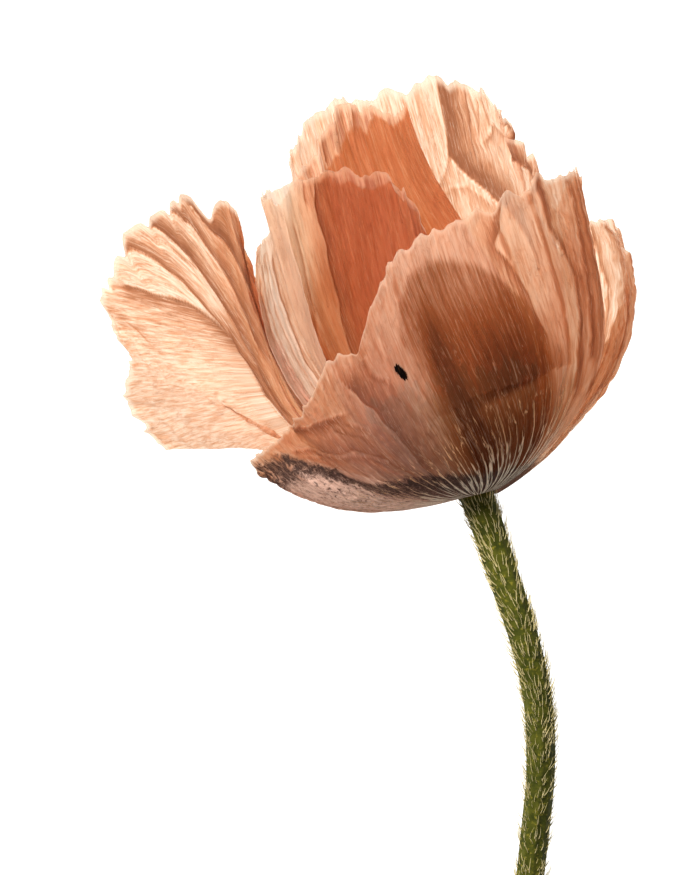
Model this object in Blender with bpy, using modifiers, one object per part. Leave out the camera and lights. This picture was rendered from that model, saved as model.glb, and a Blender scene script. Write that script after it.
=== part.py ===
"""An oriental poppy flower on a short cut stem, lying on its side on a flat surface.

The flower has a frame of its own. It starts at the receptacle, where the petals leave the stem,
and runs along the flower's axis. A petal is a fan of ribs that leave the receptacle side by side.
Each rib leans away from the axis by an angle that changes along it, so a row of ribs makes a cup,
a flared sheet or anything between. The flower frame then lies down in the world, +Z up, with the
axis pointing along +Y and a little to -X.

Sizes are in millimetres up to MM, which turns them into Blender's metres.
"""

import math

import bmesh
import bpy
import numpy as np
from mathutils import Matrix, Vector

MM = 0.001
COLLECTION = "poppy_flower"

# Where the flower lies: its receptacle, its axis and the direction that faces up.
RECEPTACLE = (23.4, 10.6, 45.2)
AXIS_TURN = 14.0  # degrees from +Y towards -X

# The petals: thickness, the ring they grow from, and the step from one layer to the next.
PETAL_THICK = 0.45
CLAW_RADIUS = 4.6
LAYER_STEP = 0.85
PETAL_COLUMNS = 15
PETAL_ROWS = 10

# The stem, as points from the receptacle in world directions.
STEM_RADIUS = 3.1
STEM_NECK = 3.7
TORUS_RADIUS = 4.1
TORUS_TOP = 5.6
STEM_ROUTE = (
    (0.0, 0.0, 0.0),
    (4.6, -14.0, -1.0),
    (9.8, -29.5, -6.0),
    (12.9, -43.0, -12.0),
    (13.7, -58.0, -19.5),
    (12.0, -80.0, -31.0),
    (9.6, -107.0, -42.0),
)

# The ovary that becomes the seed head: radius and height along the axis.
CAPSULE_PROFILE = (
    (2.6, 5.9),
    (3.6, 7.2),
    (6.2, 10.0),
    (7.6, 13.5),
    (7.6, 16.5),
    (6.2, 18.6),
    (7.9, 19.4),
    (8.6, 20.0),
    (8.2, 20.9),
    (4.0, 21.9),
    (0.0, 22.3),
)
STAMENS = 24
STAMEN_RING = 5.8
STAMEN_FOOT = 6.8

COLOURS = {
    "petal": (0.80, 0.42, 0.27, 1.0),
    "stem": (0.16, 0.21, 0.05, 1.0),
    "capsule": (0.22, 0.24, 0.12, 1.0),
    "stamen": (0.05, 0.03, 0.06, 1.0),
}

# Each petal: its layer from the outside in, the azimuths its base spans, and its ribs as
# (azimuth at the rim, length, then the lean at the base, at a third, at two thirds and at the rim).
# Azimuth 0 faces up, 90 faces the flower's left, 180 faces the surface below.
PETALS = {
    "petal_right": (
        0,
        (206, 250),
        (
            (206, 52, 78, 63, 43, 22),
            (213, 64, 78, 61, 35, 8),
            (224, 72, 78, 59, 28, -6),
            (236, 74, 78, 58, 27, -12),
            (247, 71, 78, 58, 28, -12),
            (254, 66, 77, 58, 30, -8),
            (257, 58, 77, 59, 36, 0),
            (252, 48, 76, 60, 42, 18),
            (244, 39, 76, 60, 46, 32),
        ),
    ),
    "petal_front": (
        1,
        (-104, 92),
        (
            (-108, 68, 72, 42, 4, 4),
            (-92, 74, 72, 44, 6, 4),
            (-62, 75, 74, 44, 8, 0),
            (-34, 76, 78, 45, 9, 0),
            (-14, 74, 82, 49, 9, 0),
            (4, 72, 84, 53, 9, 0),
            (16, 63, 86, 56, 14, 2),
            (35, 53, 88, 60, 20, 6),
            (53, 47, 90, 68, 36, 16),
            (66, 44, 90, 72, 44, 26),
            (80, 44, 92, 78, 54, 34),
            (96, 42, 92, 80, 60, 40),
        ),
    ),
    "petal_back": (
        2,
        (148, 240),
        (
            (149, 94, 74, 36, 6, 0),
            (158, 100, 74, 36, 6, -2),
            (170, 103, 74, 36, 6, -4),
            (184, 103, 74, 37, 6, -4),
            (198, 103, 74, 39, 8, -6),
            (212, 98, 74, 39, 8, -4),
            (222, 86, 74, 39, 8, 0),
            (234, 72, 74, 40, 10, 0),
        ),
    ),
    "petal_left": (
        3,
        (92, 140),
        (
            (126, 76, 72, 61, 80, 84),
            (122, 82, 72, 58, 70, 70),
            (118, 82, 72, 55, 60, 56),
            (115, 89, 72, 56, 46, 42),
            (115, 94, 72, 55, 35, 28),
            (119, 98, 72, 54, 18, 12),
            (124, 96, 72, 54, 9, 2),
            (128, 91, 72, 54, 4, -4),
            (131, 75, 72, 60, 16, 4),
            (134, 62, 72, 62, 34, 24),
        ),
    ),
    "petal_inner_back": (
        4,
        (94, 240),
        (
            (92, 71, 67, 41, 11, -18),
            (104, 72, 67, 38, 8, -10),
            (124, 76, 66, 34, 5, -2),
            (148, 86, 66, 30, 4, -2),
            (168, 93, 66, 30, 4, -2),
            (180, 93, 66, 30, 4, -2),
            (187, 92, 66, 30, 4, 0),
        ),
    ),
    "petal_inner_left": (
        5,
        (84, 188),
        (
            (80, 72, 56, 26, 2, 6),
            (90, 75, 58, 28, 4, 0),
            (108, 78, 60, 30, 4, -2),
            (130, 79, 60, 30, 4, -2),
            (155, 78, 60, 30, 4, -2),
            (176, 75, 60, 30, 4, -2),
            (188, 62, 60, 28, 4, 0),
        ),
    ),
}


def world_axes():
    """The flower's axis, its left and its front as world directions."""
    turn = math.radians(AXIS_TURN)
    axis = np.array((-math.sin(turn), math.cos(turn), 0.0))
    left = np.array((-math.cos(turn), -math.sin(turn), 0.0))
    front = np.array((0.0, 0.0, 1.0))
    return axis, left, front


def place(radius, height, azimuth):
    """A world point in metres from its radius, height and azimuth about the flower's axis."""
    axis, left, front = world_axes()
    angle = math.radians(azimuth)
    out = math.cos(angle) * front + math.sin(angle) * left
    return (np.array(RECEPTACLE) + radius * out + height * axis) * MM


def smooth_row(rows, u):
    """The row at u, from 0 to 1, on a smooth curve through evenly spaced rows."""
    rows = np.asarray(rows, float)
    at = u * (len(rows) - 1)
    i = min(int(at), len(rows) - 2)
    f = at - i
    a, b = rows[i], rows[i + 1]
    before = rows[i - 1] if i else 2 * a - b
    after = rows[i + 2] if i + 2 < len(rows) else 2 * b - a
    slope_a, slope_b = (b - before) / 2, (after - a) / 2
    return (
        a * (2 * f**3 - 3 * f**2 + 1)
        + b * (3 * f**2 - 2 * f**3)
        + slope_a * (f**3 - 2 * f**2 + f)
        + slope_b * (f**3 - f**2)
    )


def petal_grid(layer, claw, ribs, columns, rows):
    """World points of a petal's middle surface, as columns of points from its claw to its rim."""
    grid = np.zeros((columns, rows, 3))
    for i in range(columns):
        u = i / (columns - 1)
        azimuth, length, *leans = smooth_row(ribs, u)
        foot = claw[0] + (claw[1] - claw[0]) * u
        radius = CLAW_RADIUS
        height = LAYER_STEP * layer
        step = length / (rows - 1)
        for j in range(rows):
            t = j / (rows - 1)
            turn = t * t * (3 - 2 * t)
            grid[i, j] = place(radius, height, foot + (azimuth - foot) * turn)
            lean = math.radians(smooth_row(leans, min(1.0, t + 0.5 / (rows - 1))))
            radius += math.sin(lean) * step
            height += math.cos(lean) * step
    return grid


def material(name):
    """A plain Principled material in the part's colour."""
    made = bpy.data.materials.get(name) or bpy.data.materials.new(name)
    made.use_nodes = True
    shader = made.node_tree.nodes["Principled BSDF"]
    shader.inputs["Base Color"].default_value = COLOURS[name]
    shader.inputs["Roughness"].default_value = 0.7
    return made


def add_object(name, data, slot, collection):
    made = bpy.data.objects.new(name, data)
    made.data.materials.append(material(slot))
    collection.objects.link(made)
    return made


def add_petal(name, spec, collection):
    """A grid bent to the petal's ribs and given its thickness."""
    points = petal_grid(*spec, PETAL_COLUMNS, PETAL_ROWS)
    form = bmesh.new()
    bmesh.ops.create_grid(form, x_segments=PETAL_COLUMNS - 1, y_segments=PETAL_ROWS - 1, size=0.5)
    for vertex in form.verts:
        i = round((vertex.co.x + 0.5) * (PETAL_COLUMNS - 1))
        j = round((vertex.co.y + 0.5) * (PETAL_ROWS - 1))
        vertex.co = Vector(points[i, j])
    mesh = bpy.data.meshes.new(name)
    form.to_mesh(mesh)
    form.free()
    mesh.shade_smooth()
    petal = add_object(name, mesh, "petal", collection)
    solid = petal.modifiers.new("thickness", "SOLIDIFY")
    solid.thickness = PETAL_THICK * MM
    solid.offset = 0.0
    return petal


def add_tube(name, points, radii, slot, sides, collection):
    """A closed tube along points in metres, with a radius in metres at each."""
    curve = bpy.data.curves.new(name, "CURVE")
    curve.dimensions = "3D"
    curve.bevel_depth = 1.0
    curve.bevel_resolution = (sides - 4) // 2
    curve.use_fill_caps = True
    line = curve.splines.new("POLY")
    line.points.add(len(points) - 1)
    for spot, point, radius in zip(line.points, points, radii):
        spot.co = (*point, 1.0)
        spot.radius = radius
    return add_object(name, curve, slot, collection)


def add_stem(collection):
    """The stem, its neck and the torus that the petals grow from, as one grown piece."""
    axis = world_axes()[0]
    start = np.array(RECEPTACLE)
    count = 22
    points = [start + axis * TORUS_TOP, start + axis * TORUS_TOP * 0.5, start]
    radii = [TORUS_RADIUS * 0.85, TORUS_RADIUS, TORUS_RADIUS]
    for i in range(1, count):
        u = i / (count - 1)
        points.append(start + smooth_row(STEM_ROUTE, u))
        radii.append(STEM_RADIUS + (STEM_NECK - STEM_RADIUS) * math.exp(-6 * u))
    points = [p * MM for p in points]
    radii = [r * MM for r in radii]
    return add_tube("stem", points, radii, "stem", 12, collection)


def add_capsule(collection):
    """The ovary with its flat stigmatic disc, turned about the flower's axis."""
    form = bmesh.new()
    spots = [form.verts.new((r * MM, 0, z * MM)) for r, z in reversed(CAPSULE_PROFILE)]
    foot = form.verts.new((0, 0, CAPSULE_PROFILE[0][1] * MM))
    spots.append(foot)
    for a, b in zip(spots, spots[1:]):
        form.edges.new((a, b))
    mesh = bpy.data.meshes.new("seed_capsule")
    form.to_mesh(mesh)
    form.free()
    capsule = add_object("seed_capsule", mesh, "capsule", collection)
    turned = capsule.modifiers.new("turned", "SCREW")
    turned.steps = turned.render_steps = 20
    turned.use_merge_vertices = True
    turned.merge_threshold = 0.00001
    axis, left, front = world_axes()
    frame = Matrix.Identity(4)
    for column, direction in enumerate((left, front, axis)):
        for row in range(3):
            frame[row][column] = direction[row]
        frame[column][3] = RECEPTACLE[column] * MM
    capsule.matrix_world = frame
    return capsule


def add_stamen(index, collection):
    """One stamen: a thin filament that swells into its anther."""
    azimuth = 360 * index / STAMENS
    reach = 19 + 3 * math.sin(index * 2.4)
    lean = math.radians(45 + 5 * math.sin(index * 1.7))
    bend = math.radians(12)
    marks = (0.0, 0.3, 0.6, 0.85, 0.9, 0.95, 1.0)
    radii = (0.28, 0.25, 0.22, 0.22, 0.75, 0.8, 0.3)
    points = []
    for t in marks:
        angle = lean - bend * t
        points.append(
            place(
                STAMEN_RING + reach * t * math.sin(angle),
                STAMEN_FOOT + reach * t * math.cos(angle),
                azimuth,
            )
        )
    return add_tube(f"stamen_{index + 1:02d}", points, [r * MM for r in radii], "stamen", 6, collection)


def main():
    for old in list(bpy.data.objects):
        bpy.data.objects.remove(old)
    collection = bpy.data.collections.new(COLLECTION)
    bpy.context.scene.collection.children.link(collection)
    add_stem(collection)
    add_capsule(collection)
    for name, spec in PETALS.items():
        add_petal(name, spec, collection)
    for index in range(STAMENS):
        add_stamen(index, collection)


main()
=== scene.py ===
"""The looks of the poppy flower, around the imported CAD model.

The petals, the stem, the capsule and the stamens are fine meshes that repeat the CAD construction
(receptacle, axis, ribs and stem route) and add pleats, creases, frilled rims, hairs and rays.
Places on a petal are (u, t): u runs from its first rib to its last, t from its base to its rim.
The flower lies on a pale light table and is looked at from straight above.
"""
import math

import bpy
import numpy as np
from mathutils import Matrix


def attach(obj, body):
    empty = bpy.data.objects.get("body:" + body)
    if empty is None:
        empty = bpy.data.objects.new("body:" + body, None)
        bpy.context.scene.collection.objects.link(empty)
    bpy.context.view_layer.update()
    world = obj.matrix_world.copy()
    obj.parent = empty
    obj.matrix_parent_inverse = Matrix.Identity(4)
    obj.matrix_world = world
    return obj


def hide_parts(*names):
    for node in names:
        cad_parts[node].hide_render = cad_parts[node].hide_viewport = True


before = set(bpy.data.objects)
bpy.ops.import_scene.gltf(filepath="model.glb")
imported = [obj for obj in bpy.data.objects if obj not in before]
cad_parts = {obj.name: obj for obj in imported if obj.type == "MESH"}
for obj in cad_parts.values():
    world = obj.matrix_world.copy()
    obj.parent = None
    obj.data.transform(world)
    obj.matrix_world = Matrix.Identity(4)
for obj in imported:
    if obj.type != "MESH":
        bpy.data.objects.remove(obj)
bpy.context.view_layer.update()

MM = 0.001

# The CAD construction, repeated: where the flower lies and how its petals are made.
RECEPTACLE = np.array((23.4, 10.6, 45.2))
AXIS_TURN = 14.0
CLAW_RADIUS = 4.6
LAYER_STEP = 0.85
STEM_RADIUS = 3.1
STEM_NECK = 3.7
TORUS_TOP = 5.6
TORUS_RADIUS = 4.1
STEM_ROUTE = (
    (0.0, 0.0, 0.0),
    (4.6, -14.0, -1.0),
    (9.8, -29.5, -6.0),
    (12.9, -43.0, -12.0),
    (13.7, -58.0, -19.5),
    (12.0, -80.0, -31.0),
    (9.6, -107.0, -42.0),
)

# Each petal: layer, base azimuths, ribs of (rim azimuth, length, four leans from base to rim).
RIBS = {
    "petal_right": (0, (206, 250), (
        (206, 52, 78, 63, 43, 22),
        (213, 64, 78, 61, 35, 8),
        (224, 72, 78, 59, 28, -6),
        (236, 74, 78, 58, 27, -12),
        (247, 71, 78, 58, 28, -12),
        (254, 66, 77, 58, 30, -8),
        (257, 58, 77, 59, 36, 0),
        (252, 48, 76, 60, 42, 18),
        (244, 39, 76, 60, 46, 32),
    )),
    "petal_front": (1, (-104, 92), (
        (-108, 68, 72, 42, 4, 4),
        (-92, 74, 72, 44, 6, 4),
        (-62, 75, 74, 44, 8, 0),
        (-34, 76, 78, 45, 9, 0),
        (-14, 74, 82, 49, 9, 0),
        (4, 72, 84, 53, 9, 0),
        (16, 63, 86, 56, 14, 2),
        (35, 53, 88, 60, 20, 6),
        (53, 47, 90, 68, 36, 16),
        (66, 44, 90, 72, 44, 26),
        (80, 44, 92, 78, 54, 34),
        (96, 42, 92, 80, 60, 40),
    )),
    "petal_back": (2, (148, 240), (
        (149, 94, 74, 36, 6, 0),
        (158, 100, 74, 36, 6, -2),
        (170, 103, 74, 36, 6, -4),
        (184, 103, 74, 37, 6, -4),
        (198, 103, 74, 39, 8, -6),
        (212, 98, 74, 39, 8, -4),
        (222, 86, 74, 39, 8, 0),
        (234, 72, 74, 40, 10, 0),
    )),
    "petal_left": (3, (92, 140), (
        (126, 76, 72, 61, 80, 84),
        (122, 82, 72, 58, 70, 70),
        (118, 82, 72, 55, 60, 56),
        (115, 89, 72, 56, 46, 42),
        (115, 94, 72, 55, 35, 28),
        (119, 98, 72, 54, 18, 12),
        (124, 96, 72, 54, 9, 2),
        (128, 91, 72, 54, 4, -4),
        (131, 75, 72, 60, 16, 4),
        (134, 62, 72, 62, 34, 24),
    )),
    "petal_inner_back": (4, (94, 240), (
        (92, 71, 67, 41, 11, -18),
        (104, 72, 67, 38, 8, -10),
        (124, 76, 66, 34, 5, -2),
        (148, 86, 66, 30, 4, -2),
        (168, 93, 66, 30, 4, -2),
        (180, 93, 66, 30, 4, -2),
        (187, 92, 66, 30, 4, 0),
    )),
    "petal_inner_left": (5, (84, 188), (
        (80, 72, 56, 26, 2, 6),
        (90, 75, 58, 28, 4, 0),
        (108, 78, 60, 30, 4, -2),
        (130, 79, 60, 30, 4, -2),
        (155, 78, 60, 30, 4, -2),
        (176, 75, 60, 30, 4, -2),
        (188, 62, 60, 28, 4, 0),
    )),
}

# Thickness of a petal's tissue, how far up the teeth and notches of its rim begin, the length that
# relief is laid out on, and a petal's width at its foot as a share of its rim's.
TISSUE = 0.14
RIM_ZONE = 0.80
PETAL_LENGTH = 75
FOOT_SHARE = 0.3


# ---------------------------------------------------------------- numbers and noise


def smoothstep(a, b, x):
    t = np.clip((x - a) / (b - a), 0, 1)
    return t * t * (3 - 2 * t)


def bump_at(x, centre, width):
    """A bell of height 1 at centre, with that half width."""
    return np.exp(-(((x - centre) / width) ** 2))


def spline(values, at):
    """Values at places from 0 to 1 on a smooth curve through evenly spaced rows."""
    values = np.asarray(values, float)
    at = np.asarray(at, float) * (len(values) - 1)
    i = np.clip(at.astype(int), 0, len(values) - 2)
    f = (at - i).reshape(at.shape + (1,) * (values.ndim - 1))
    padded = np.concatenate([2 * values[:1] - values[1:2], values, 2 * values[-1:] - values[-2:-1]])
    a, b = padded[i + 1], padded[i + 2]
    slope_a, slope_b = (b - padded[i]) / 2, (padded[i + 3] - a) / 2
    return (
        a * (2 * f**3 - 3 * f**2 + 1)
        + b * (3 * f**2 - 2 * f**3)
        + slope_a * (f**3 - 2 * f**2 + f)
        + slope_b * (f**3 - f**2)
    )


class Noise:
    """Smooth noise from -1 to 1 on a seeded lattice."""

    def __init__(self, seed, side=256):
        self.side = side
        self.grid = np.random.default_rng(seed).uniform(-1, 1, (side, side))

    def __call__(self, x, y):
        x, y = np.broadcast_arrays(np.asarray(x, float), np.asarray(y, float))
        i, j = np.floor(x).astype(int), np.floor(y).astype(int)
        fx, fy = x - i, y - j
        fx, fy = fx * fx * (3 - 2 * fx), fy * fy * (3 - 2 * fy)
        n, g = self.side, self.grid
        low = g[i % n, j % n] * (1 - fx) + g[(i + 1) % n, j % n] * fx
        high = g[i % n, (j + 1) % n] * (1 - fx) + g[(i + 1) % n, (j + 1) % n] * fx
        return low * (1 - fy) + high * fy

    def crease(self, x, y):
        """Sharp ridges where the noise crosses zero, from -1 to 1."""
        return 1 - 4 * np.minimum(np.abs(self(x, y)), 0.5)


# ---------------------------------------------------------------- the flower's frame


def world_axes():
    turn = math.radians(AXIS_TURN)
    axis = np.array((-math.sin(turn), math.cos(turn), 0.0))
    left = np.array((-math.cos(turn), -math.sin(turn), 0.0))
    front = np.array((0.0, 0.0, 1.0))
    return axis, left, front


def place(radius, height, azimuth):
    """World points in millimetres from arrays of radius, height and azimuth in degrees."""
    axis, left, front = world_axes()
    angle = np.radians(azimuth)[..., None]
    out = np.cos(angle) * front + np.sin(angle) * left
    return RECEPTACLE + np.asarray(radius)[..., None] * out + np.asarray(height)[..., None] * axis


def normals_of(points):
    along = np.gradient(points, axis=0)
    up = np.gradient(points, axis=1)
    normal = np.cross(along, up)
    return normal / np.maximum(np.linalg.norm(normal, axis=2, keepdims=True), 1e-9)


# ---------------------------------------------------------------- meshes


def link(name, data):
    made = bpy.data.objects.new(name, data)
    bpy.context.scene.collection.objects.link(made)
    return made


def mesh_from(name, points, faces, smooth=True):
    """A mesh from points in millimetres and an array of faces with the same number of corners."""
    mesh = bpy.data.meshes.new(name)
    faces = np.asarray(faces, np.int32)
    corners = faces.shape[1]
    mesh.vertices.add(len(points))
    mesh.vertices.foreach_set("co", (np.asarray(points) * MM).astype(np.float32).ravel())
    mesh.loops.add(faces.size)
    mesh.loops.foreach_set("vertex_index", faces.ravel())
    mesh.polygons.add(len(faces))
    mesh.polygons.foreach_set("loop_start", np.arange(0, faces.size, corners, dtype=np.int32))
    mesh.update(calc_edges=True)
    mesh.validate()
    if smooth:
        mesh.shade_smooth()
    return mesh


def grid_faces(columns, rows, wrap=False):
    """Quads of a grid of columns by rows of points; wrap joins the last column to the first."""
    i = np.arange(columns if wrap else columns - 1)
    j = np.arange(rows - 1)
    i, j = np.meshgrid(i, j, indexing="ij")
    k = (i + 1) % columns
    quads = np.stack([i * rows + j, k * rows + j, k * rows + j + 1, i * rows + j + 1], -1)
    return quads.reshape(-1, 4)


def point_attribute(mesh, name, values):
    made = mesh.attributes.new(name, "FLOAT", "POINT")
    made.data.foreach_set("value", np.asarray(values, np.float32).ravel())


def sheet_solid(name, middle, thickness, attributes):
    """A thin closed shell around a grid of middle points, with a value of each attribute per point."""
    columns, rows = middle.shape[:2]
    normal = normals_of(middle)
    points = np.concatenate(
        [(middle + normal * thickness / 2).reshape(-1, 3),
         (middle - normal * thickness / 2).reshape(-1, 3)]
    )
    front = grid_faces(columns, rows)
    count = columns * rows
    back = front[:, ::-1] + count
    ring = np.concatenate([
        np.arange(columns) * rows,
        (columns - 1) * rows + np.arange(1, rows),
        np.arange(columns - 2, -1, -1) * rows + rows - 1,
        np.arange(rows - 2, 0, -1),
    ])
    after = np.roll(ring, -1)
    rim = np.stack([after, ring, ring + count, after + count], -1)
    mesh = mesh_from(name, points, np.concatenate([front, back, rim]))
    for key, values in attributes.items():
        point_attribute(mesh, key, np.concatenate([values.ravel(), values.ravel()]))
    return mesh


# ---------------------------------------------------------------- petals


def petal_surface(spec, u, t, longer, wider=0.0):
    """Middle surface of a petal for columns u and rows t.

    longer is what each rib gains near the rim, in millimetres, and wider what it turns on, in degrees.
    """
    layer, claw, ribs = spec
    ribs = spline(ribs, u)
    azimuth, length, leans = ribs[:, 0] + wider, ribs[:, 1], ribs[:, 2:]
    foot = claw[0] + (claw[1] - claw[0]) * u
    turn = smoothstep(0, 1, t)
    halfway = (t[:-1] + t[1:]) / 2
    share = smoothstep(RIM_ZONE, 1, halfway)
    pace = length[:, None] * np.diff(t)[None] + longer[:, None] * (share / share.sum())[None]
    lean = np.radians(spline(leans.T, halfway)).T
    zero = np.zeros((len(u), 1))
    radius = CLAW_RADIUS + np.concatenate([zero, np.cumsum(np.sin(lean) * pace, 1)], 1)
    height = LAYER_STEP * layer + np.concatenate([zero, np.cumsum(np.cos(lean) * pace, 1)], 1)
    return place(radius, height, foot[:, None] + (azimuth - foot)[:, None] * turn[None])


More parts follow.
